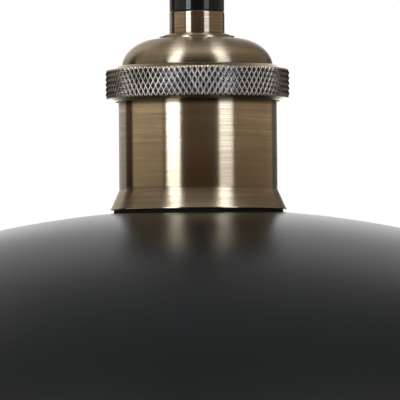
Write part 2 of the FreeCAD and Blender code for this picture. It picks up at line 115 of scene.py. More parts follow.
def outline(*pieces):
    """Rounds the corners (r, z, radius) of a closed line, and keeps arrays of curve points as they are.

    At a corner P with unit directions u and v to its neighbours, which meet at the angle 2h, the arc's
    centre is C = P + radius / sin h * unit(u + v), and it touches the sides radius / tan h away from P. The
    arc turns from a = unit(P + u radius / tan h - C) to b, the same for v, through the angle w = pi - 2h, so
    its points are C + radius * (sin((1 - s) w) a + sin(s w) b) / sin w, for s from 0 to 1. One more point on
    each side, a guard's width past the arc, keeps the shading of the flat sides flat.
    """
    rows = [np.c_[p, np.zeros(len(p))] if isinstance(p, np.ndarray) else np.array([p]) for p in pieces]
    corners = np.vstack(rows)
    p, rho = corners[:, :2], corners[:, 2:]
    u, v = unit(np.roll(p, 1, axis=0) - p), unit(np.roll(p, -1, axis=0) - p)
    half = np.arccos(np.clip(np.sum(u * v, axis=1, keepdims=True), -1, 1)) / 2
    half = np.maximum(half, 1e-3)
    reach = rho / np.tan(half)
    centre = p + unit(u + v) * rho / np.sin(half)
    a, b = unit(p + u * reach - centre), unit(p + v * reach - centre)
    sweep = (math.pi - 2 * half)[:, None]
    s = np.linspace(0, 1, ARC_STEPS + 1)[None, :, None]
    divisor = np.maximum(np.sin(sweep), 1e-9)
    turned = (np.sin((1 - s) * sweep) * a[:, None] + np.sin(s * sweep) * b[:, None]) / divisor
    arcs = centre[:, None] + rho[:, None] * turned
    guard = np.where(rho > 0, reach + GUARD, 0)
    points = np.concatenate([(p + u * guard)[:, None], arcs, (p + v * guard)[:, None]], axis=1).reshape(-1, 2)
    apart = np.linalg.norm(points - np.roll(points, 1, axis=0), axis=1) > 1e-7
    return points[apart]


def ellipse(centre, half_r, half_z, start, end, steps):
    """(r, z) = centre + (half_r cos t, half_z sin t), for t from start to end in degrees."""
    t = np.radians(np.linspace(start, end, steps + 1))
    return np.c_[centre[0] + half_r * np.cos(t), centre[1] + half_z * np.sin(t)]


def straight(start, end, steps):
    """Evenly spaced points from start to end, for a side that a thread or a knurl will be cut into."""
    return np.linspace(start, end, steps + 1)


# %% [markdown]
# ## From a grid of points to a mesh
#
# Every new piece is a rectangular grid of points bent into shape. Rows run along the outline and columns
# run round the lamp. Joining each point to its neighbours gives four-sided faces with no stray edges, and
# where a grid closes on itself, its last row or column is simply joined to the first, so no seam is left to
# merge.
#
# Outlines are drawn anticlockwise, up the outside and down the inside. The faces then point outwards, which
# the enclosed volume shows: it comes out positive.

# %% Grids and turned pieces
SHARP = math.radians(34)


def grid_mesh(name, points, closed_rows=True, caps=False):
    """Joins points[i, j] to its neighbours. Columns always close into a ring, and rows do if closed_rows.

    caps fills both ends of open rows.
    """
    rows, columns = points.shape[:2]
    index = np.arange(rows * columns).reshape(rows, columns)
    if closed_rows:
        index = np.vstack([index, index[:1]])
    wrapped = np.hstack([index, index[:, :1]])
    quads = np.stack([wrapped[:-1, :-1], wrapped[:-1, 1:], wrapped[1:, 1:], wrapped[1:, :-1]], axis=-1)
    corners = quads.reshape(-1)
    starts = np.arange(0, len(corners), 4)
    if caps:
        starts = np.r_[starts, len(corners), len(corners) + columns]
        corners = np.r_[corners, index[0, ::-1], index[-1]]
    mesh = bpy.data.meshes.new(name)
    mesh.vertices.add(rows * columns)
    mesh.vertices.foreach_set("co", points.astype(np.float32).reshape(-1))
    mesh.loops.add(len(corners))
    mesh.loops.foreach_set("vertex_index", corners.astype(np.int32))
    mesh.polygons.add(len(starts))
    mesh.polygons.foreach_set("loop_start", starts.astype(np.int32))
    mesh.polygons.foreach_set("use_smooth", np.ones(len(starts), bool))
    mesh.update(calc_edges=True)
    mesh.validate()
    mesh.set_sharp_from_angle(angle=SHARP)
    piece = bpy.data.objects.new(name, mesh)
    bpy.context.scene.collection.objects.link(piece)
    return piece


def lathe(name, profile, around=192, relief=None):
    """Turns the outline round the Z axis: P(s, t) = (r cos t, r sin t, z), with (r, z) the outline at s.

    relief(r, z, t), if given, returns a new r for every point of the grid, which cuts a thread or a knurl.
    """
    t = np.linspace(0, 2 * math.pi, around, endpoint=False)
    r, z = np.broadcast_to(profile[:, :1], (len(profile), around)), profile[:, 1:] + 0 * t
    if relief:
        r = relief(r, z, t + 0 * r)
    return grid_mesh(name, np.stack([r * np.cos(t), r * np.sin(t), z], axis=-1))


def volume(piece):
    """The sum of p . (q x s) / 6 over the triangles (p, q, s), in cm3, positive if the faces point out."""
    mesh = piece.data
    mesh.calc_loop_triangles()
    corner = np.empty(3 * len(mesh.loop_triangles), np.int32)
    mesh.loop_triangles.foreach_get("vertices", corner)
    co = np.empty(3 * len(mesh.vertices), np.float32)
    mesh.vertices.foreach_get("co", co)
    p, q, s = co.reshape(-1, 3).astype(float)[corner.reshape(-1, 3)].transpose(1, 0, 2)
    return np.sum(p * np.cross(q, s)) / 6 * 1e6


def settle(piece, body, slot, *nodes):
    """Puts the piece on its body in place of the CAD nodes, and says what it turned out to be."""
    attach(piece, body)
    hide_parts(*nodes)
    print(f"{piece.name}: {len(piece.data.polygons)} faces, {volume(piece):.2f} cm3")
    return piece


# %% [markdown]
# ## The dome cap
#
# The cap is pressed from brass sheet over a former: a raised boss for the neck, a quarter-ellipse shoulder,
# and a flange at its foot that the union ring holds. It is one thin shell, so its outline goes up the
# outside and comes back down the inside, a sheet's thickness in.

# %% Dome cap
SHEET = 0.9 * mm
BOSS_R, BOSS_TOP_R = 9.0 * mm, 7.3 * mm
SHOULDER_R = 9.6 * mm
DOME_TOP = COLLAR_BOTTOM - 1.15 * mm
DOME_RISE = DOME_TOP - RING_TOP
FLANGE_R, FLANGE_TOP = radius("dome_cap"), RING_TOP - 0.8 * mm
NIPPLE_HOLE_R = 5.1 * mm
BOSS_FOOT = DOME_TOP + 0.1 * mm

cap_profile = outline(
    (CAP_R - SHEET, CAP_BOTTOM, 0.1 * mm),
    (FLANGE_R, CAP_BOTTOM, 0.15 * mm),
    (FLANGE_R, FLANGE_TOP, 0.15 * mm),
    (CAP_R, FLANGE_TOP, 0.1 * mm),
    ellipse((SHOULDER_R, RING_TOP), CAP_R - SHOULDER_R, DOME_RISE, 0, 87, 40),
    (BOSS_R - 0.15 * mm, DOME_TOP, 0.25 * mm),
    ellipse((BOSS_TOP_R, BOSS_FOOT), BOSS_R - BOSS_TOP_R, COLLAR_BOTTOM - BOSS_FOOT, 0, 90, 12),
    (NIPPLE_HOLE_R, COLLAR_BOTTOM, 0),
    (NIPPLE_HOLE_R, COLLAR_BOTTOM - SHEET, 0),
    (BOSS_R - SHEET, COLLAR_BOTTOM - SHEET, 0.3 * mm),
    (BOSS_R - SHEET, DOME_TOP - SHEET, 0.2 * mm),
    ellipse((SHOULDER_R, RING_TOP), CAP_R - SHOULDER_R - SHEET, DOME_RISE - SHEET, 90, 0, 24),
)
dome_cap = settle(lathe("dome_cap_shell", cap_profile), "cap", "antique_brass", "dome_cap")

# %% [markdown]
# ## The neck collar and the cord grip
#
# A short brass coupler joins the cap to the cord grip. The grip is moulded in black plastic. Its lower edge
# and its mouth are rounded because a mould can't fill a sharp edge, and a boss on one side takes the screw
# that clamps the cord.

# %% Neck collar
NIPPLE_THREAD_R = 5.05 * mm

collar_profile = outline(
    (NIPPLE_THREAD_R, COLLAR_BOTTOM, 0),
    (COLLAR_R, COLLAR_BOTTOM, 0.18 * mm),
    (COLLAR_R, COLLAR_TOP, 0.22 * mm),
    (NIPPLE_THREAD_R, COLLAR_TOP, 0),
)
neck_collar = settle(lathe("neck_coupler", collar_profile, 128), "cap", "antique_brass", "neck_collar")

# %% Cord grip
GRIP_R, GRIP_BORE_R, GRIP_BORE_L = 6.9 * mm, 3.6 * mm, 11.2 * mm
MOUTH_RIM_R, ROUNDING = 5.0 * mm, 3.6 * mm

grip_profile = outline(
    (NIPPLE_THREAD_R, COLLAR_TOP, 0),
    (GRIP_R, COLLAR_TOP, 0.4 * mm),
    ellipse((MOUTH_RIM_R, GRIP_TOP - ROUNDING), GRIP_R - MOUTH_RIM_R, ROUNDING, 0, 84, 24),
    (MOUTH_RIM_R - 0.1 * mm, GRIP_TOP, 0.3 * mm),
    (GRIP_BORE_R, GRIP_TOP, 0.45 * mm),
    (GRIP_BORE_R, GRIP_TOP - GRIP_BORE_L, 0),
    (NIPPLE_THREAD_R, GRIP_TOP - GRIP_BORE_L, 0),
)
cord_grip = settle(lathe("cord_grip", grip_profile, 128), "cap", "gloss_black_plastic", "cord_grip_body")

# %% [markdown]
# ## The boss of the clamp screw
#
# The boss grows out of the side of the grip with a moulded fillet. A fillet on a curved wall can be made
# with a boolean and a bevel, which leaves uneven faces. Here it is a lathe turned on its side whose first
# ring is bent to the wall, so the fillet starts on the wall all the way round. The screw's hole goes on
# through the wall of the grip, and a boolean does that well, because its edge is out of sight inside.

# %% Clamp screw boss
SCREW_Z = (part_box("cord_clamp_screw")[0].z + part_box("cord_clamp_screw")[1].z) / 2
BOSS_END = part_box("cord_grip_body")[1].x
SCREW_BOSS_R, SCREW_HOLE_R, FILLET, BOSS_EDGE = 3.3 * mm, 2.05 * mm, 0.8 * mm, 0.35 * mm
BOSS_ROOT, SUNK = 5.2 * mm, 0.03 * mm
DRILL_START, DRILL_END = 3.0 * mm, BOSS_END - 1.0 * mm


def side_boss(name, around=96):
    """A boss along +X on a wall of radius R: P(s, t) = (x, rho cos t, rho sin t + z).

    On the fillet rho = boss + fillet (1 - sin s) and x = wall(rho cos t) + fillet (1 - cos s), where the wall
    at y is sqrt(R^2 - y^2), a little sunk in. After it come the boss's side, its rounded end and the wall of
    the hole, which closes on the fillet's first ring inside the wall of the grip.
    """
    t = np.linspace(0, 2 * math.pi, around, endpoint=False)
    s = np.radians(np.linspace(0, 90, 9))[:, None]
    rho = SCREW_BOSS_R + FILLET * (1 - np.sin(s)) + 0 * t
    wall = np.sqrt(GRIP_R ** 2 - (rho * np.cos(t)) ** 2) - SUNK
    fillet_x = wall + FILLET * (1 - np.cos(s))
    end = outline(
        (SCREW_BOSS_R, 0, 0),
        (SCREW_BOSS_R, BOSS_END, BOSS_EDGE),
        (SCREW_HOLE_R, BOSS_END, BOSS_EDGE),
        (SCREW_HOLE_R, 0, 0),
    )
    end = end[end[:, 1] > BOSS_END - 2 * BOSS_EDGE]
    end = np.vstack([end, [[SCREW_HOLE_R, BOSS_ROOT]]])
    rho = np.vstack([rho, end[:, :1] + 0 * t])
    x = np.vstack([fillet_x, end[:, 1:] + 0 * t])
    points = np.stack([x, rho * np.cos(t), rho * np.sin(t) + SCREW_Z], axis=-1)
    return grid_mesh(name, points)


def drill(piece, hole_radius, start, end, height):
    """Takes a round hole along X, from start to end at this height, out of a piece."""
    bpy.ops.mesh.primitive_cylinder_add(
        vertices=64, radius=hole_radius, depth=end - start, rotation=(0, math.pi / 2, 0),
        location=((start + end) / 2, 0, height))
    bit = bpy.context.object
    cut = piece.modifiers.new("drilled", "BOOLEAN")
    cut.object, cut.operation, cut.solver = bit, "DIFFERENCE", "EXACT"
    bpy.context.view_layer.objects.active = piece
    bpy.ops.object.modifier_apply(modifier=cut.name)
    bpy.data.objects.remove(bit)
    print(f"{piece.name}, drilled: {len(piece.data.polygons)} faces, {volume(piece):.2f} cm3")


screw_boss = settle(side_boss("clamp_screw_boss"), "cap", "gloss_black_plastic", "cord_grip_body")
drill(cord_grip, SCREW_HOLE_R, DRILL_START, DRILL_END, SCREW_Z)

# %% [markdown]
# ## The knurled union ring
#
# A fitter turns this ring by hand, so its rim is knurled: two sets of slanting grooves, rolled at about
# thirty degrees to the axis, cross and leave rows of small pyramids with worn tops. A bump texture would
# look right from far away, but its outline would stay smooth. Real grooves notch the outline too, so they
# are cut into the mesh.
#
# The depth of each point in its groove is kept as an attribute on the mesh. The patina is dark on the
# pyramids, and the bottoms of the grooves are painted paler: a painted highlight, the thin bright lines
# that light catches on their rounded bottoms.

# %% Knurled ring
KNURL_COUNT, KNURL_SLANT, KNURL_DEPTH = 100, math.radians(29.5), 0.45 * mm
GROOVE_ROUND, TOP_WORN = 0.22, 0.07
KNURL_PITCH = 2 * math.pi * RING_R / KNURL_COUNT / math.tan(KNURL_SLANT)
KNURL_MIDDLE = (RING_TOP + RING_BOTTOM) / 2
RING_THREAD_R, RING_HOLE_R, LIP = 20.65 * mm, 19.15 * mm, 0.75 * mm
LOWER_FACE_R, LOWER_BEVEL_R = 21.3 * mm, 22.5 * mm
SHOULDER_ROUND_R, TOP_BEVEL_R, TOP_FACE_R = 22.2 * mm, 22.1 * mm, 20.7 * mm
BAND_HIGH, BAND_LOW = RING_TOP - 1.35 * mm, RING_BOTTOM + 0.9 * mm


def groove(t):
    """A V groove at each whole number, 1 halfway between: sqrt(v^2 + e^2) - e over its largest value.

    Here v is the zigzag from 0 to 1, and e is the roundness of the groove's bottom.
    """
    v = 1 - np.abs(2 * (t - np.floor(t)) - 1)
    return (np.hypot(v, GROOVE_ROUND) - GROOVE_ROUND) / (math.hypot(1, GROOVE_ROUND) - GROOVE_ROUND)


def knurl_height(z, t):
    """min(groove(a), groove(b)), its tip worn, for a and b = count t / 2 pi plus and minus height / pitch."""
    turn, rise = KNURL_COUNT * t / (2 * math.pi), (z - KNURL_MIDDLE) / KNURL_PITCH
    return np.minimum(np.minimum(groove(turn + rise), groove(turn - rise)), 1 - TOP_WORN) / (1 - TOP_WORN)


def knurl(r, z, t):
    """Takes r down to the knurl's surface, RING_R - depth (1 - height), where the ring is wider than that."""
    return np.minimum(r, RING_R - KNURL_DEPTH * (1 - knurl_height(z, t)))


ring_profile = outline(
    (RING_THREAD_R, RING_BOTTOM, 0.15 * mm),
    (LOWER_FACE_R, RING_BOTTOM, 0.3 * mm),
    (LOWER_BEVEL_R, RING_BOTTOM + LIP, 0),
    straight((RING_R - 0.1 * mm, RING_BOTTOM + 1.05 * mm), (RING_R, RING_BOTTOM + 1.3 * mm), 2),
    straight((RING_R, RING_BOTTOM + 1.45 * mm), (RING_R, RING_TOP - 1.75 * mm), 45),
    ellipse((SHOULDER_ROUND_R, RING_TOP - 1.6 * mm), 0.8 * mm, 0.72 * mm, 0, 78, 7),
    straight((TOP_BEVEL_R, RING_TOP - 0.84 * mm), (TOP_FACE_R, RING_TOP - 0.06 * mm), 4),
    (TOP_FACE_R - 0.4 * mm, RING_TOP, 0),
    (RING_HOLE_R, RING_TOP, 0.15 * mm),
    (RING_HOLE_R, RING_TOP - LIP, 0),
    (RING_THREAD_R, RING_TOP - LIP, 0),
)
knurled_ring = lathe("union_ring_knurled", ring_profile, 10 * KNURL_COUNT, knurl)

co = np.empty(3 * len(knurled_ring.data.vertices), np.float32)
knurled_ring.data.vertices.foreach_get("co", co)
x, y, z = co.reshape(-1, 3).T
in_band = (z < BAND_HIGH) & (z > BAND_LOW) & (np.hypot(x, y) > RING_THREAD_R + 1 * mm)
depth = np.where(in_band, 1 - knurl_height(z, np.arctan2(y, x)), 0)
for attribute, values in (("groove", depth), ("band", in_band)):
    layer = knurled_ring.data.attributes.new(attribute, "FLOAT", "POINT")
    layer.data.foreach_set("value", values.astype(np.float32))
settle(knurled_ring, "union_ring", "antique_brass", "knurled_ring")
print("knurl: pyramids", round(2000 * math.pi * RING_R / KNURL_COUNT, 2), "mm wide and",
      round(1000 * KNURL_PITCH, 2), "mm tall")

# %% [markdown]
# ## The socket sleeve
#
# The sleeve is a drawn brass tube with a solid flared foot. Its upper end carries the fine thread that the
# union ring screws on, which shows only when the ring is undone. A thread is a groove whose phase grows
# with height and falls with the angle, so one formula cuts it into the turned grid, right-handed.

# %% Socket sleeve
UNION_PITCH, UNION_THREAD_R, UNION_THREAD_DEPTH = 1.25 * mm, 20.6 * mm, 0.5 * mm
FOOT_TOP = SEAT + 5.1 * mm
BAND_BOTTOM = SLEEVE_TOP - 5.0 * mm


def thread(r, z, t, pitch, crest, depth, low, high):
    """Cuts r to crest - depth (1 - cos(2 pi (z / pitch - t / 2 pi))) / 2, if it's that wide.

    The cut fades out at the heights low and high.
    """
    cut = depth * (1 - np.cos(2 * math.pi * z / pitch - t)) / 2
    fade = np.clip(np.minimum(z - low, high - z) / (0.4 * pitch), 0, 1)
    return np.where((fade > 0) & (r > crest - depth), np.minimum(r, crest - cut * fade), r)


def union_thread(r, z, t):
    return thread(r, z, t, UNION_PITCH, UNION_THREAD_R, UNION_THREAD_DEPTH, BAND_BOTTOM, SLEEVE_TOP)


sleeve_profile = outline(
    (SLEEVE_BORE_R, SEAT, 0.1 * mm),
    (FOOT_R, SEAT, 0.25 * mm),
    (SLEEVE_R, FOOT_TOP, 0),
    (SLEEVE_R, FOOT_TOP + 1 * mm, 0),
    (SLEEVE_R, BAND_BOTTOM - 0.5 * mm, 0),
    straight((UNION_THREAD_R, BAND_BOTTOM), (UNION_THREAD_R, SLEEVE_TOP - 0.1 * mm), 48),
    (SLEEVE_BORE_R, SLEEVE_TOP, 0.1 * mm),
)
socket_sleeve = lathe("socket_sleeve_brushed", sleeve_profile, 256, union_thread)
settle(socket_sleeve, "lampholder", "antique_brass", "socket_sleeve")

# %% [markdown]
# ## The barrel and the shade ring
#
# Inside the sleeve sits a moulded barrel that keeps the live parts away from the brass. It stands out below
# and carries a coarse rounded thread, the kind that survives being moulded. The shade ring is its nut: a
# flange with finger notches and a ribbed hub.

# %% Insulating barrel
SHADE_THREAD_PITCH, SHADE_THREAD_DEPTH = 2.5 * mm, 0.85 * mm
BARREL_FLANGE_R = radius("insulating_barrel")
BARREL_BORE_R, BARREL_LOWER_BORE_R, MOUTH_R = 16.4 * mm, 15.5 * mm, 14.2 * mm
GROOVE_R, GROOVE_TOP = 16.9 * mm, BLOCK_TOP + 0.9 * mm
THREAD_LOW, THREAD_HIGH = BARREL_BOTTOM + 0.3 * mm, SEAT + 1 * mm


def barrel_thread(r, z, t):
    return thread(r, z, t, SHADE_THREAD_PITCH, BARREL_R, SHADE_THREAD_DEPTH, THREAD_LOW, THREAD_HIGH)


barrel_profile = outline(
    (MOUTH_R, BARREL_BOTTOM, 0.4 * mm),
    (BARREL_R, BARREL_BOTTOM, 0.7 * mm),
    straight((BARREL_R, BARREL_BOTTOM + 1 * mm), (BARREL_R, SEAT + 1 * mm), 84),
    (BARREL_R, SLEEVE_TOP, 0),
    (BARREL_FLANGE_R, SLEEVE_TOP, 0.15 * mm),
    (BARREL_FLANGE_R, BARREL_TOP, 0.2 * mm),
    (BARREL_BORE_R, BARREL_TOP, 0.2 * mm),
    (BARREL_BORE_R, GROOVE_TOP, 0),
    (GROOVE_R, GROOVE_TOP, 0),
    (GROOVE_R, BLOCK_TOP, 0),
    (BARREL_BORE_R, BLOCK_TOP, 0),
    (BARREL_BORE_R, BLOCK_BOTTOM, 0),
    (BARREL_LOWER_BORE_R, BLOCK_BOTTOM, 0),
    (BARREL_LOWER_BORE_R, BARREL_BOTTOM + 2 * mm, 0.2 * mm),
    (MOUTH_R, BARREL_BOTTOM + 2 * mm, 0.2 * mm),
)
barrel = settle(lathe("barrel_threaded", barrel_profile, 192, barrel_thread), "lampholder", "black_phenolic",
                "insulating_barrel")

# %% Shade ring
NUT_TOP, NUT_BOTTOM = top("shade_ring"), bottom("shade_ring")
NUT_R, HUB_R, NUT_BORE_R = radius("shade_ring"), 22.6 * mm, 19.05 * mm
NUT_FLAT_R = 21.4 * mm
NOTCHES, NOTCH_DEPTH, RIBS, RIB_DEPTH = 36, 0.6 * mm, 72, 0.3 * mm
FLANGE_BOTTOM = NUT_TOP - 2.8 * mm


def finger_notches(r, z, t):
    """Round notches in the flange's rim, depth max(0, cos(count t))^2, and shallow ribs on the hub."""
    notch = NOTCH_DEPTH * np.maximum(np.cos(NOTCHES * t), 0) ** 2
    rib = RIB_DEPTH * np.cos(RIBS * t / 2) ** 2
    hub = (z < FLANGE_BOTTOM - 1 * mm) & (z > NUT_BOTTOM + 0.8 * mm) & (r > HUB_R - 0.1 * mm)
    return r - np.where(r > NUT_R - 0.5 * mm, notch, 0) - np.where(hub, rib, 0)


ring_nut_profile = outline(
    (NUT_BORE_R, NUT_BOTTOM, 0.3 * mm),
    (HUB_R, NUT_BOTTOM, 0.6 * mm),
    straight((HUB_R, NUT_BOTTOM + 0.7 * mm), (HUB_R, NUT_BOTTOM + 1.2 * mm), 2),
    straight((HUB_R, NUT_BOTTOM + 1.2 * mm), (HUB_R, FLANGE_BOTTOM - 1.2 * mm), 4),
    (HUB_R, FLANGE_BOTTOM - 0.3 * mm, 0.4 * mm),
    (NUT_R, FLANGE_BOTTOM, 0.4 * mm),
    (NUT_R, NUT_TOP - 0.75 * mm, 0.3 * mm),
    (NUT_FLAT_R, NUT_TOP, 0),
    (NUT_BORE_R, NUT_TOP, 0.15 * mm),
)
shade_ring = lathe("shade_ring_notched", ring_nut_profile, 12 * NOTCHES, finger_notches)
settle(shade_ring, "shade_ring", "black_phenolic", "shade_ring")

# %% [markdown]
# ## The screw shell and the centre contact
#
# The lamp screws into a thin shell whose thread is rolled, so the sheet keeps its thickness and waves in
# and out on both faces at once. The spring leaf at its end is a strip bent in three places. It is a section
# carried along a bent path, which is how a press brake sees it too.

# %% Screw shell
SHELL_BOTTOM, SHELL_TOP = bottom("screw_shell"), top("screw_shell")
SHELL_R, SHELL_T, SHELL_NECK_R = 13.35 * mm, 0.4 * mm, 11.8 * mm
SHELL_HOLE_R, SHELL_FLOOR_T = 6.4 * mm, 0.5 * mm
THREAD_END, NECK_START = BLOCK_BOTTOM - 3.2 * mm, BLOCK_BOTTOM - 2.3 * mm
LAMP_PITCH, LAMP_DEPTH = 3.629 * mm, 0.9 * mm


def rolled_thread(r, z, t):
    """Moves both faces in by depth (1 - cos(2 pi (z / pitch - t / 2 pi))) / 2, fading out at both ends."""
    wave = LAMP_DEPTH * (1 - np.cos(2 * math.pi * z / LAMP_PITCH - t)) / 2
    fade = np.clip(np.minimum(z - SHELL_BOTTOM, THREAD_END - z) / (1.2 * mm), 0, 1)
    return r - wave * fade


shell_profile = outline(
    straight((SHELL_R, THREAD_END), (SHELL_R, SHELL_BOTTOM), 90),
    straight((SHELL_R + SHELL_T, SHELL_BOTTOM), (SHELL_R + SHELL_T, THREAD_END + SHELL_T / 2), 90),
    (SHELL_NECK_R + SHELL_T, NECK_START + SHELL_T / 2, 0.4 * mm),
    (SHELL_NECK_R + SHELL_T, SHELL_TOP, 0.3 * mm),
    (SHELL_HOLE_R, SHELL_TOP, 0),
    (SHELL_HOLE_R, SHELL_TOP - SHELL_FLOOR_T, 0.1 * mm),
    (SHELL_NECK_R, SHELL_TOP - SHELL_FLOOR_T, 0.3 * mm),
    (SHELL_NECK_R, NECK_START, 0.4 * mm),
)
screw_shell = settle(lathe("screw_shell_rolled", shell_profile, 160, rolled_thread), "lampholder",
                     "nickel_plated_brass", "screw_shell")

# %% Centre contact
LEAF_LOW, LEAF_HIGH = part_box("centre_contact")
LEAF_W, LEAF_T = LEAF_HIGH.y - LEAF_LOW.y, 0.36 * mm


def strip(name, path, half_width, thickness):
    """A flat section along a path in the XZ plane: P(s, t) = path(s) + n(s) a(t) + y b(t) half_width(s).

    n is the path's normal, and (a, b) runs round a superellipse, (sgn sin |sin t|^p, sgn cos |cos t|^q),
    which is a thin rectangle with rounded edges.
    """
    t = np.linspace(0, 2 * math.pi, 24, endpoint=False)
    a = thickness / 2 * np.sign(np.sin(t)) * np.abs(np.sin(t)) ** 0.5
    b = np.sign(np.cos(t)) * np.abs(np.cos(t)) ** 0.3
    along = unit(np.gradient(path, axis=0))
    normal = np.c_[-along[:, 1], along[:, 0]]
    side = path[:, None] + normal[:, None] * a[None, :, None]
    y = half_width[:, None] * b
    return grid_mesh(name, np.stack([side[..., 0], y, side[..., 1]], axis=-1), closed_rows=False, caps=True)


leaf_corners = np.array([
    [0, 4.0, 0],
    [0.6, 4.0, 0.5],
    [4.0, 0.2, 0.7],
    [4.9, 0.2, 0.7],
    [5.95, 1.1, 0],
]) * mm + (LEAF_LOW.x, LEAF_LOW.z, 0)
leaf_path = outline(*[tuple(corner) for corner in leaf_corners])
reach = (leaf_path[:, 0] - LEAF_LOW.x) / (LEAF_HIGH.x - LEAF_LOW.x)
leaf_width = LEAF_W / 2 * (0.62 + 0.36 * (1 - reach)) * np.sqrt(np.clip((1.02 - reach) * 8, 0, 1))
centre_contact = settle(strip("centre_contact_leaf", leaf_path, leaf_width, LEAF_T), "centre_contact",
                        "spring_bronze", "centre_contact")

# %% [markdown]
# ## The shade
#
# The shade is spun from a steel disc over a former: half an ellipse, a short straight skirt, and a rim
# rolled into a bead that stiffens it. Outside it is sprayed with dark enamel, and inside with white, so the
# sheet is one mesh with two finishes. The smooth dome shows any unevenness as a wobble in its reflections,
# so its rows follow the ellipse exactly.

# %% Shade
SHADE_R, SHADE_H, SHADE_T = 175.0 * mm, 120.0 * mm, 1.0 * mm
HOLE_R, FLAT_R, SKIRT, BEAD = 19.4 * mm, 21.5 * mm, 6.0 * mm, 1.8 * mm
SHADE_CENTRE = SHADE_TOP - SHADE_H * math.sqrt(1 - (FLAT_R / SHADE_R) ** 2)
INNER_R, INNER_H = SHADE_R - SHADE_T, SHADE_H - SHADE_T
BEAD_Z = SHADE_CENTRE - SKIRT - BEAD

flat_angle = math.degrees(math.acos(FLAT_R / SHADE_R))
inner_flat_angle = math.degrees(math.asin((SHADE_TOP - SHADE_T - SHADE_CENTRE) / INNER_H))
bead_turn = math.degrees(math.asin(SHADE_T / 2 / BEAD))
shade_profile = outline(
    ellipse((SHADE_R - SHADE_T / 2, BEAD_Z), BEAD, BEAD, 90 + bead_turn, 450 - bead_turn, 32),
    (SHADE_R, SHADE_CENTRE - SKIRT / 2, 0),
    ellipse((0, SHADE_CENTRE), SHADE_R, SHADE_H, 0, flat_angle, 110),
    (HOLE_R, SHADE_TOP, 0),
    (HOLE_R, SHADE_TOP - SHADE_T, 0),
    ellipse((0, SHADE_CENTRE), INNER_R, INNER_H, inner_flat_angle, 0, 80),
    (INNER_R, SHADE_CENTRE - SKIRT / 2, 0),
)
shade = lathe("shade_dome", shade_profile, 256)

co = np.empty(3 * len(shade.data.vertices), np.float32)
shade.data.vertices.foreach_get("co", co)
across, height = np.hypot(*co.reshape(-1, 3)[:, :2].T), co.reshape(-1, 3)[:, 2]
middle_r = SHADE_R - SHADE_T / 2
middle_h = SHADE_H - SHADE_T / 2
lift = np.clip((height - SHADE_CENTRE) / middle_h, 0, 1)
inside = (across < middle_r * np.sqrt(1 - lift ** 2)) & (height > BEAD_Z + BEAD)
corner = np.empty(len(shade.data.loops), np.int32)
shade.data.loops.foreach_get("vertex_index", corner)
lining = inside[corner.reshape(-1, 4)].sum(axis=1) >= 3
shade.data.polygons.foreach_set("material_index", lining.astype(np.int32))
settle(shade, "shade", "charcoal_enamel", "shade")

# %% [markdown]
# Two soft rings protect the enamel: a fibre gasket above the shade, under the sleeve's foot, and a sloped
# washer below it, over the shade ring. They are small, but the black line that the gasket makes is what
# separates the brass from the shade to the eye. Its near-black is partly the fibre's own colour and partly
# painted shade, standing for the shadow in the thin gap under the foot.

# %% Gasket and washer
GASKET_BORE_R, GASKET_R = SLEEVE_BORE_R + 0.1 * mm, 21.2 * mm
gasket_profile = outline(
    (GASKET_BORE_R, SHADE_TOP, 0),
    (GASKET_R, SHADE_TOP, 0.2 * mm),
    (GASKET_R, SEAT, 0.2 * mm),
    (GASKET_BORE_R, SEAT, 0),
)
gasket = settle(lathe("shade_gasket_ring", gasket_profile), "lampholder", "black_fibre", "shade_gasket")

WASHER_TOP, WASHER_BOTTOM = top("shade_washer"), bottom("shade_washer")
WASHER_R, WASHER_FLAT_R, WASHER_T = radius("shade_washer"), 21.4 * mm, 0.8 * mm
washer_profile = outline(
    (HOLE_R, WASHER_TOP - WASHER_T, 0.1 * mm),
    (WASHER_FLAT_R, WASHER_TOP - WASHER_T, 0.3 * mm),
    (WASHER_R, WASHER_BOTTOM, 0.2 * mm),
    (WASHER_R, WASHER_BOTTOM + WASHER_T, 0.2 * mm),
    (WASHER_FLAT_R, WASHER_TOP, 0.3 * mm),
    (HOLE_R, WASHER_TOP, 0.1 * mm),
)
washer = settle(lathe("shade_washer_sloped", washer_profile), "shade", "black_fibre", "shade_washer")

# %% [markdown]
# ## Wiring materials
#
# A material is a small graph of nodes. Written out call by call it is hard to follow, so a helper adds a
# node, feeds its inputs with numbers or with other nodes' outputs, and hands back what comes out. A
# material then reads from top to bottom like a recipe.

# %% A helper for node trees
class Wiring:
    """Adds nodes to one node tree and joins them."""

    def __init__(self, tree):
        self.tree = tree

    def feed(self, value, socket):
        if isinstance(value, bpy.types.NodeSocket):
            self.tree.links.new(value, socket)
        else:
            socket.default_value = value

    def add(self, kind, inputs=None, **settings):
        node = self.tree.nodes.new(kind)
        for name, value in settings.items():
            setattr(node, name, value)
        for key, value in (inputs or {}).items():
            self.feed(value, node.inputs[key])
        return node

    def math(self, operation, a, b=0.0):
        return self.add("ShaderNodeMath", {0: a, 1: b}, operation=operation).outputs[0]

    def scale(self, value, low, high, new_low=0.0, new_high=1.0, soft=True):
        """Takes low..high to new_low..new_high, eased at both ends if soft, and holds it there outside."""
        kind = "SMOOTHSTEP" if soft else "LINEAR"
        inputs = {"Value": value, "From Min": low, "From Max": high, "To Min": new_low, "To Max": new_high}
        return self.add("ShaderNodeMapRange", inputs, interpolation_type=kind).outputs["Result"]

    def mix(self, factor, a, b):
        return self.add("ShaderNodeMix", {0: factor, 6: a, 7: b}, data_type="RGBA").outputs[2]

    def noise(self, vector, scale, detail=3.0, roughness=0.55, distortion=0.0):
        inputs = {"Vector": vector, "Scale": scale, "Detail": detail, "Roughness": roughness,
                  "Distortion": distortion}
        return self.add("ShaderNodeTexNoise", inputs).outputs["Fac"]

    def place(self):
        return self.add("ShaderNodeTexCoord").outputs["Object"]


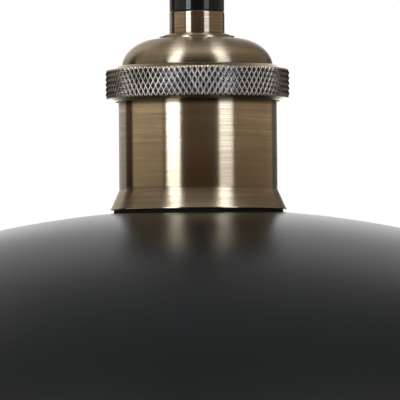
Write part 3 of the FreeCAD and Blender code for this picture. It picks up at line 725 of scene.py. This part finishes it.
def new_effect(name, inputs, outputs):
    """A node group with named float inputs and outputs, its wiring, its input sockets and its output node."""
    tree = bpy.data.node_groups.new(name, "ShaderNodeTree")
    for label, value in inputs.items():
        tree.interface.new_socket(label, in_out="INPUT", socket_type="NodeSocketFloat").default_value = value
    for label in outputs:
        tree.interface.new_socket(label, in_out="OUTPUT", socket_type="NodeSocketFloat")
    source, sink = tree.nodes.new("NodeGroupInput"), tree.nodes.new("NodeGroupOutput")
    return Wiring(tree), source.outputs, sink


def use_effect(wiring, name, **inputs):
    """Places an effect in a material. An input's name has spaces where the keyword has underscores."""
    node = wiring.tree.nodes.new("ShaderNodeGroup")
    node.node_tree = bpy.data.node_groups[name]
    for key, value in inputs.items():
        wiring.feed(value, node.inputs[key.replace("_", " ")])
    return node.outputs


# %% [markdown]
# ## Effects that several finishes share
#
# Brushing: a turned part is finished with an abrasive strip while it spins, which leaves fine lines round
# the axis. They are noise that is stretched a hundred times along the circumference. Height minus radius
# stands for the distance along the outline, so the lines run round the sides, over the dome and as circles
# on flat faces.
#
# Patina: the antique colour is a chemical stain, so it comes out in soft clouds with a few darker specks.
#
# Peel: sprayed enamel dries with a faint orange-peel ripple. Moulding: plastic has a fine, dull mottle.

# %% Brushing
w, given, out = new_effect("brushed_lines", {"Lines": 9000.0, "Stretch": 60.0}, ["Lines", "Bands"])
axes = w.add("ShaderNodeSeparateXYZ", {0: w.place()}).outputs
squares = [w.math("MULTIPLY", axes[k], axes[k]) for k in (0, 1)]
away = w.math("SQRT", w.math("ADD", *squares))
along = w.math("SUBTRACT", axes[2], away)
across = [w.math("MULTIPLY", axes[k], given["Stretch"]) for k in (0, 1)]
fine_along = w.math("MULTIPLY", along, given["Lines"])
fine = w.add("ShaderNodeCombineXYZ", {0: across[0], 1: across[1], 2: fine_along})
wide_along = w.math("MULTIPLY", along, w.math("MULTIPLY", given["Lines"], 0.13))
wide = w.add("ShaderNodeCombineXYZ", {0: w.math("MULTIPLY", across[0], 0.4), 1: across[1], 2: wide_along})
w.feed(w.noise(fine.outputs[0], 1.0, 2.0, 0.6), out.inputs["Lines"])
w.feed(w.noise(wide.outputs[0], 1.0, 2.0, 0.5), out.inputs["Bands"])

# %% Patina, peel and moulding
w, given, out = new_effect("patina", {"Scale": 120.0, "Specks": 0.5}, ["Clouds", "Specks"])
clouds = w.noise(w.place(), given["Scale"], 4.0, 0.6, 0.4)
w.feed(w.scale(clouds, 0.35, 0.7), out.inputs["Clouds"])
specks = w.noise(w.place(), w.math("MULTIPLY", given["Scale"], 14.0), 2.0, 0.5)
w.feed(w.math("MULTIPLY", w.scale(specks, 0.66, 0.8), given["Specks"]), out.inputs["Specks"])

w, given, out = new_effect("orange_peel", {"Scale": 420.0}, ["Height", "Mottle"])
w.feed(w.noise(w.place(), given["Scale"], 2.0, 0.45), out.inputs["Height"])
w.feed(w.noise(w.place(), w.math("MULTIPLY", given["Scale"], 0.03), 3.0, 0.5), out.inputs["Mottle"])

w, given, out = new_effect("moulding", {"Scale": 900.0}, ["Height", "Mottle"])
w.feed(w.noise(w.place(), given["Scale"], 3.0, 0.6), out.inputs["Height"])
w.feed(w.noise(w.place(), w.math("MULTIPLY", given["Scale"], 0.12), 3.0, 0.55), out.inputs["Mottle"])

w, given, out = new_effect("worn_edges", {"From": 0.52, "To": 0.62}, ["Edge"])
sharpness = w.add("ShaderNodeNewGeometry").outputs["Pointiness"]
w.feed(w.scale(sharpness, given["From"], given["To"]), out.inputs["Edge"])
print("effects:", [g.name for g in bpy.data.node_groups])

# %% [markdown]
# ## Metals
#
# Brushed metal mirrors sharply along its lines and smears what it mirrors across them. The Principled
# shader calls that anisotropy. Its direction is a tangent round the Z axis, turned a quarter, so a lamp
# strip stays a crisp upright bar on the sleeve and is smeared only up and down.
#
# One function makes every metal here. What changes is the colour, the spacing of the lines and how far the
# stain has gone.

# %% Metals
def metal(name, colour, stained, rough, lines=9000.0, line_tone=0.25, clouds=0.3, specks=0.3, anisotropy=0.8,
          line_depth=0.01 * mm, foot_shade=None, painted_shade=None, knurl_tone_and_highlight=None):
    """A brushed metal: colour where it's clean, stained in the patina's clouds and between the brushed lines.

    foot_shade is a pair of heights: the stain is painted deeper from the upper one down to the lower one, the
    crease of the foot, as painted shade where the sleeve mirrors the dark dome of the shade. painted_shade is
    a pair of heights and how dark it is painted at each: a painted shadow where one piece goes into another.
    knurl_tone_and_highlight are the colours of the pyramids and of the bottoms of the grooves between them,
    whose paler colour is a painted highlight.
    """
    material = bpy.data.materials.new(name)
    material.use_nodes = True
    w = Wiring(material.node_tree)
    shader = material.node_tree.nodes["Principled BSDF"]
    brush = use_effect(w, "brushed_lines", Lines=lines)
    patina = use_effect(w, "patina", Scale=140.0, Specks=specks)
    edges = use_effect(w, "worn_edges")
    line_mask = w.scale(brush["Lines"], 0.3, 0.7, soft=False)
    band_mask = w.scale(brush["Bands"], 0.3, 0.7, soft=False)
    tone = w.mix(w.math("MULTIPLY", patina["Clouds"], clouds), (*colour, 1), (*stained, 1))
    tone = w.mix(w.math("MULTIPLY", line_mask, line_tone), tone, (*stained, 1))
    tone = w.mix(w.math("MULTIPLY", band_mask, line_tone * 0.7), tone, (*stained, 1))
    level = w.add("ShaderNodeSeparateXYZ", {0: w.place()}).outputs[2]
    # Painted shade: a dark band painted where one piece goes into another, under the union ring and at the
    # foot of the dome.
    if painted_shade:
        tone = w.mix(w.scale(level, *painted_shade), tone, (*[0.12 * c for c in stained], 1))
    # Painted shade: the stain is painted deeper towards the foot, where the sleeve mirrors the dark shade.
    if foot_shade:
        above_foot = w.scale(level, foot_shade[0] - 0.3 * mm, foot_shade[0] + 0.3 * mm, 0.1, 0.85)
        shaded_towards_foot = w.math("MULTIPLY", above_foot, w.scale(level, *foot_shade, 1.0, 0.0))
        tone = w.mix(shaded_towards_foot, tone, (*[0.8 * c for c in stained], 1))
    tone = w.mix(patina["Specks"], tone, (*[0.5 * c for c in stained], 1))
    bright = [min(1.0, 1.25 * c) for c in colour]
    tone = w.mix(w.math("MULTIPLY", edges["Edge"], 0.35), tone, (*bright, 1))
    rough_here = w.scale(brush["Lines"], 0.2, 0.8, rough - 0.03, rough + 0.04, soft=False)
    # Knurl: the pyramids keep a dark patina, and the paler bottoms of the grooves are a painted highlight.
    if knurl_tone_and_highlight:
        band = w.add("ShaderNodeAttribute", attribute_name="band").outputs["Fac"]
        groove = w.add("ShaderNodeAttribute", attribute_name="groove").outputs["Fac"]
        knurled = w.mix(w.scale(groove, 0.45, 0.95), (*knurl_tone_and_highlight[0], 1), (*knurl_tone_and_highlight[1], 1))
        dirty = w.math("MULTIPLY", w.scale(patina["Clouds"], 0.2, 0.9), 0.45)
        knurled = w.mix(dirty, knurled, (*[0.35 * c for c in knurl_tone_and_highlight[0]], 1))
        tone = w.mix(band, tone, knurled)
    w.feed(tone, shader.inputs["Base Color"])
    w.feed(rough_here, shader.inputs["Roughness"])
    shader.inputs["Metallic"].default_value = 1.0
    shader.inputs["Anisotropic"].default_value = anisotropy
    shader.inputs["Anisotropic Rotation"].default_value = 0.25
    tangent = w.add("ShaderNodeTangent", direction_type="RADIAL", axis="Z")
    w.feed(tangent.outputs[0], shader.inputs["Tangent"])
    bump = w.add("ShaderNodeBump", {"Height": brush["Lines"], "Strength": 1.0, "Distance": line_depth})
    w.feed(bump.outputs[0], shader.inputs["Normal"])
    return material


BRASS, STAIN = (0.585, 0.495, 0.36), (0.255, 0.20, 0.13)
# The painted shade on the sleeve fades out at this height above the seat.
SLEEVE_SHADE_HIGH = SEAT + 26 * mm
# A lighter copy of the brass and its stain for the dome cap: painted light.
LIGHTENED_BRASS, LIGHTENED_STAIN = (0.73, 0.61, 0.45), (0.36, 0.28, 0.19)
# A darker copy of the brass and its stain for the neck collar: painted shade.
DARKENED_BRASS, DARKENED_STAIN = (0.42, 0.35, 0.26), (0.17, 0.13, 0.09)
# The sleeve: painted shade deepening towards the foot, and a painted shadow just under the union ring.
antique_brass = metal("antique_brass", BRASS, STAIN, 0.22, 5600.0, line_tone=0.75, anisotropy=1.0,
                      line_depth=0.012 * mm, foot_shade=(FOOT_TOP, SLEEVE_SHADE_HIGH),
                      painted_shade=(RING_BOTTOM - 1.7 * mm, RING_BOTTOM - 0.3 * mm, 0.0, 0.9))
# The dome cap: the lighter copy, which is painted light, with a painted shadow on the dome's foot just above
# the ring.
dome_brass_painted_light = metal("antique_brass_dome_painted_light", LIGHTENED_BRASS, LIGHTENED_STAIN, 0.27, 6000.0, line_tone=0.6, anisotropy=1.0,
                   line_depth=0.008 * mm, painted_shade=(RING_TOP + 0.2 * mm, RING_TOP + 3.2 * mm, 0.6, 0.0))
# The neck collar: the darker copy, which is painted shade.
collar_brass_painted_shade = metal("antique_brass_collar_painted_shade", DARKENED_BRASS, DARKENED_STAIN, 0.2, 4000.0, line_tone=0.8,
                     anisotropy=1.0, line_depth=0.012 * mm)
# The knurled ring: dark patina on the pyramids, and a painted highlight in the bottoms of the grooves.
knurl_brass = metal("antique_brass_knurled", BRASS, STAIN, 0.16, anisotropy=0.2,
                    knurl_tone_and_highlight=((0.055, 0.051, 0.048), (0.32, 0.297, 0.275)))
plain_brass = metal("plain_brass", (0.80, 0.62, 0.33), (0.55, 0.38, 0.17), 0.3, 14000.0, anisotropy=0.4)
nickel = metal("nickel_plate", (0.72, 0.69, 0.62), (0.5, 0.46, 0.39), 0.3, 14000.0, anisotropy=0.4)
zinc = metal("zinc_plate", (0.70, 0.72, 0.74), (0.46, 0.48, 0.5), 0.32, 12000.0, clouds=0.5, anisotropy=0.3)
bronze = metal("spring_bronze", (0.76, 0.5, 0.28), (0.5, 0.28, 0.13), 0.28, 16000.0, anisotropy=0.3)

# %% [markdown]
# ## Enamel, plastic, fibre and porcelain
#
# Everything that isn't metal shares one recipe too: a base colour with a faint mottle, and a fine relief
# that breaks up the highlight. The outside of the shade is a satin enamel, which is nearly black and gets
# its look from what it mirrors at a low angle.

# %% Coatings and mouldings
def coating(name, colour, mottled, rough, rough_spread, effect, scale, relief, ior=1.5):
    """A coated or moulded surface: two close colours, an uneven gloss, and the relief of the effect."""
    material = bpy.data.materials.new(name)
    material.use_nodes = True
    w = Wiring(material.node_tree)
    shader = material.node_tree.nodes["Principled BSDF"]
    grain = use_effect(w, effect, Scale=scale)
    tone = w.mix(w.scale(grain["Mottle"], 0.35, 0.65), (*colour, 1), (*mottled, 1))
    w.feed(tone, shader.inputs["Base Color"])
    gloss = w.scale(grain["Mottle"], 0.3, 0.7, rough - rough_spread, rough + rough_spread)
    w.feed(gloss, shader.inputs["Roughness"])
    shader.inputs["IOR"].default_value = ior
    bump = w.add("ShaderNodeBump", {"Height": grain["Height"], "Strength": relief, "Distance": 0.05 * mm})
    w.feed(bump.outputs[0], shader.inputs["Normal"])
    return material


charcoal_enamel = coating("charcoal_enamel", (0.002, 0.003, 0.0033), (0.003, 0.0042, 0.0046), 0.29, 0.015,
                          "orange_peel", 420.0, 0.12)
white_lining = coating("white_lining", (0.80, 0.79, 0.75), (0.76, 0.75, 0.71), 0.5, 0.05,
                       "orange_peel", 380.0, 0.2)
gloss_black = coating("gloss_black_plastic", (0.002, 0.002, 0.0025), (0.004, 0.004, 0.005), 0.14, 0.03,
                      "moulding", 700.0, 0.05, ior=1.36)
phenolic = coating("black_phenolic", (0.014, 0.012, 0.011), (0.026, 0.021, 0.018), 0.42, 0.06,
                   "moulding", 900.0, 0.25)
# Black fibre, taken so dark that the gasket also stands for the shadow under the sleeve's foot: partly
# painted shade.
fibre = coating("black_fibre", (0.003, 0.003, 0.003), (0.009, 0.0088, 0.0086), 0.85, 0.08,
                "moulding", 1600.0, 0.7, ior=1.3)
porcelain = coating("porcelain", (0.84, 0.83, 0.79), (0.78, 0.76, 0.70), 0.22, 0.1, "moulding", 300.0, 0.2)

# %% [markdown]
# Now each piece gets its finish. Pieces that stay as CAD drew them are the small ones: the clamp of the
# cord, and what sits inside the cap and the lampholder. They take a finish as carefully as the rest, because
# the clamp screw shows and the socket can be looked into from below.

# %% Finishes on pieces
finishes = {
    antique_brass: [socket_sleeve],
    dome_brass_painted_light: [dome_cap],
    collar_brass_painted_shade: [neck_collar],
    knurl_brass: [knurled_ring],
    gloss_black: [cord_grip, screw_boss],
    phenolic: [barrel, shade_ring],
    fibre: [gasket, washer],
    nickel: [screw_shell],
    bronze: [centre_contact],
}
for material, pieces in finishes.items():
    for piece in pieces:
        piece.data.materials.append(material)
shade.data.materials.append(charcoal_enamel)
shade.data.materials.append(white_lining)

cad_finishes = {
    plain_brass: ["threaded_nipple", "earth_tag", "shell_terminal", "centre_terminal", "shell_rivets"],
    zinc: ["cap_lock_nut", "cap_lock_washer", "earth_screw", "terminal_screws", "block_retaining_ring",
           "cord_clamp_screw"],
    porcelain: ["contact_block"],
    fibre: ["cord_clamp_shoe"],
}
for material, nodes in cad_finishes.items():
    for node in nodes:
        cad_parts[node].material_slots[0].material = material
print("finished:", sum(map(len, finishes.values())) + 1, "new pieces and",
      sum(map(len, cad_finishes.values())), "CAD nodes")

# %% [markdown]
# ## The room: a pale floor and soft panels
#
# Polished metal shows nothing of its own, only what stands round it. A studio puts a few large soft panels
# round a lampholder and leaves the side towards the camera dark, so the metal gets clean upright bars of
# light. The panels could be area lights, but panels painted on the sky are free of noise and stay out of
# every view. Each one is a range of compass directions and a range of heights, with soft borders.

# %% Panels of light on the sky
world = bpy.data.worlds.new("studio")
bpy.context.scene.world = world
world.use_nodes = True
world.node_tree.nodes.clear()
w = Wiring(world.node_tree)
ray = w.add("ShaderNodeSeparateXYZ", {0: w.add("ShaderNodeTexCoord").outputs["Generated"]}).outputs
bearing = w.math("MULTIPLY", w.math("ARCTAN2", ray[0], w.math("MULTIPLY", ray[1], -1)), 180 / math.pi)
height = w.math("MULTIPLY", w.math("ARCSINE", ray[2]), 180 / math.pi)


SOFT_BELOW, SOFT_ABOVE = 6, 8


def panel(light, middle, half_width, border, low, high, colour):
    """Adds a panel: bearings in degrees round from the camera, 0, to the right, 90; heights above level."""
    offset = w.math("SUBTRACT", bearing, middle)
    turned = w.add("ShaderNodeMath", {0: offset, 1: 180.0, 2: -180.0}, operation="WRAP")
    across = w.scale(w.math("ABSOLUTE", turned.outputs[0]), half_width, half_width + border, 1.0, 0.0)
    above = w.scale(height, low - SOFT_BELOW, low + SOFT_BELOW)
    below = w.scale(height, high - SOFT_ABOVE, high + SOFT_ABOVE, 1.0, 0.0)
    share = w.math("MULTIPLY", across, w.math("MULTIPLY", above, below))
    return w.mix(share, light, (*colour, 1))


panels = [
    # middle, half width, border, low, high, colour; each one covers those before it
    (0, 122, 14, 41, 100, (0.36, 0.33, 0.29)),  # the ceiling at the sides
    (0, 62, 20, 44, 100, (0.60, 0.58, 0.53)),  # the ceiling in front
    (180, 34, 30, 66, 100, (0.15, 0.15, 0.15)),  # the ceiling at the back
    (-83, 29, 6, -22, 34, (0.93, 0.82, 0.66)),  # the left wall
    (94, 42, 6, -22, 34, (0.52, 0.425, 0.315)),  # the right wall
    (0, 180, 1, 12, 32, (0.24, 0.21, 0.18)),  # the walls higher up
    (0, 50, 10, 12, 34, (0.06, 0.05, 0.04)),  # the dark side behind the camera
    (-143, 16, 4, -35, 50, (0.64, 0.63, 0.61)),  # the back, on the left
    (149, 12, 4, -35, 50, (0.17, 0.165, 0.155)),  # the back, on the right
    (180, 13, 7, -20, 58, (0.20, 0.20, 0.205)),  # the middle of the back, high up
    (180, 14, 7, -20, 38, (0.62, 0.62, 0.62)),  # the same, lower
    (180, 14, 7, -20, 17, (1.7, 1.7, 1.7)),  # the same, lowest and brightest
    (-118.5, 8.5, 2, -35, 40, (0.085, 0.06, 0.04)),  # a dark flag on the left
    (-84, 14, 6, 66, 80, (1.9, 1.95, 2.1)),  # a lamp overhead on the left
    (86, 14, 6, 66, 80, (1.6, 1.65, 1.8)),  # a lamp overhead on the right
    (-36, 7, 2, 14, 62, (4.4, 4.7, 5.2)),  # the left strip's upper part
    (41.2, 8, 2, 14, 62, (4.0, 4.3, 4.8)),  # the right strip's upper part
    (-36, 9.2, 1, -14, 13, (7.6, 8.2, 9.2)),  # the left strip
    (41.2, 9.8, 1, -14, 13, (3.3, 3.6, 4.2)),  # the right strip
]
sky = w.mix(w.scale(height, -35, -12), (0.015, 0.015, 0.015, 1), (0.17, 0.112, 0.07, 1))
sky = w.mix(w.scale(height, 36, 46), sky, (0.15, 0.15, 0.15, 1))
for place_and_colour in panels:
    sky = panel(sky, *place_and_colour)
seen = w.add("ShaderNodeLightPath").outputs["Is Camera Ray"]
lit = w.add("ShaderNodeBackground", {"Color": sky, "Strength": 1.0})
paper = w.add("ShaderNodeBackground", {"Color": (1.0, 1.0, 1.0, 1), "Strength": 1.0})
both = w.add("ShaderNodeMixShader", {0: seen, 1: lit.outputs[0], 2: paper.outputs[0]})
w.feed(both.outputs[0], w.add("ShaderNodeOutputWorld").inputs[0])
bpy.context.scene.view_settings.view_transform = "Standard"

# %% Pale floor
FLOOR_DROP, FLOOR_R = 1.7, 9.0
t = np.linspace(0, 2 * math.pi, 96, endpoint=False)
rings = np.array([0.001, 3.0, 6.0, FLOOR_R])[:, None]
spots = np.stack([rings * np.cos(t), rings * np.sin(t), 0 * rings * t + SHADE_BOTTOM - FLOOR_DROP], axis=-1)
floor = grid_mesh("floor", spots[::-1], closed_rows=False)
floor_finish = bpy.data.materials.new("floor_paper")
floor_finish.use_nodes = True
w = Wiring(floor_finish.node_tree)
floor_shader = floor_finish.node_tree.nodes["Principled BSDF"]
floor_shader.inputs["Base Color"].default_value = (0.9, 0.9, 0.89, 1)
floor_shader.inputs["Roughness"].default_value = 0.9
from_middle = w.add("ShaderNodeVectorMath", {0: w.place()}, operation="LENGTH").outputs["Value"]
fade = w.scale(from_middle, 0.35 * FLOOR_R, 0.95 * FLOOR_R)
underneath = w.add("ShaderNodeNewGeometry").outputs["Backfacing"]
clear = w.add("ShaderNodeBsdfTransparent")
shown = w.add("ShaderNodeMixShader", {0: w.math("MAXIMUM", fade, underneath), 1: floor_shader.outputs[0],
                                      2: clear.outputs[0]})
w.feed(shown.outputs[0], floor_finish.node_tree.nodes["Material Output"].inputs[0])
floor.data.materials.append(floor_finish)

# %% [markdown]
# ## The camera
#
# The lamp is seen from close to the height of the shade's shoulder, through a long lens, which keeps the
# ring and the foot almost straight. The camera looks up by about a degree, so that the neck is near the top
# of the frame.

# %% Camera
EYE_DISTANCE, EYE_DROP, AIM_RISE, AIM_ASIDE = 1.062, 22.45 * mm, 2.55 * mm, 0.375 * mm
FRAME_WIDTH, SENSOR, ROLL = 100.0 * mm, 36.0, math.radians(0.5)

camera_data = bpy.data.cameras.new("camera")
camera_data.sensor_width = SENSOR
camera_data.lens = SENSOR * EYE_DISTANCE / FRAME_WIDTH
camera_data.clip_start, camera_data.clip_end = 0.1, 30.0
camera = bpy.data.objects.new("camera", camera_data)
bpy.context.scene.collection.objects.link(camera)
eye = Vector((0, -EYE_DISTANCE, SEAT - EYE_DROP))
aim = Vector((AIM_ASIDE, 0, SEAT + AIM_RISE))
camera.rotation_mode = "QUATERNION"
camera.location = eye
camera.rotation_quaternion = (aim - eye).to_track_quat("-Z", "Y") @ Quaternion((0, 0, 1), -ROLL)
bpy.context.scene.camera = camera
print("lens", round(camera_data.lens), "mm")
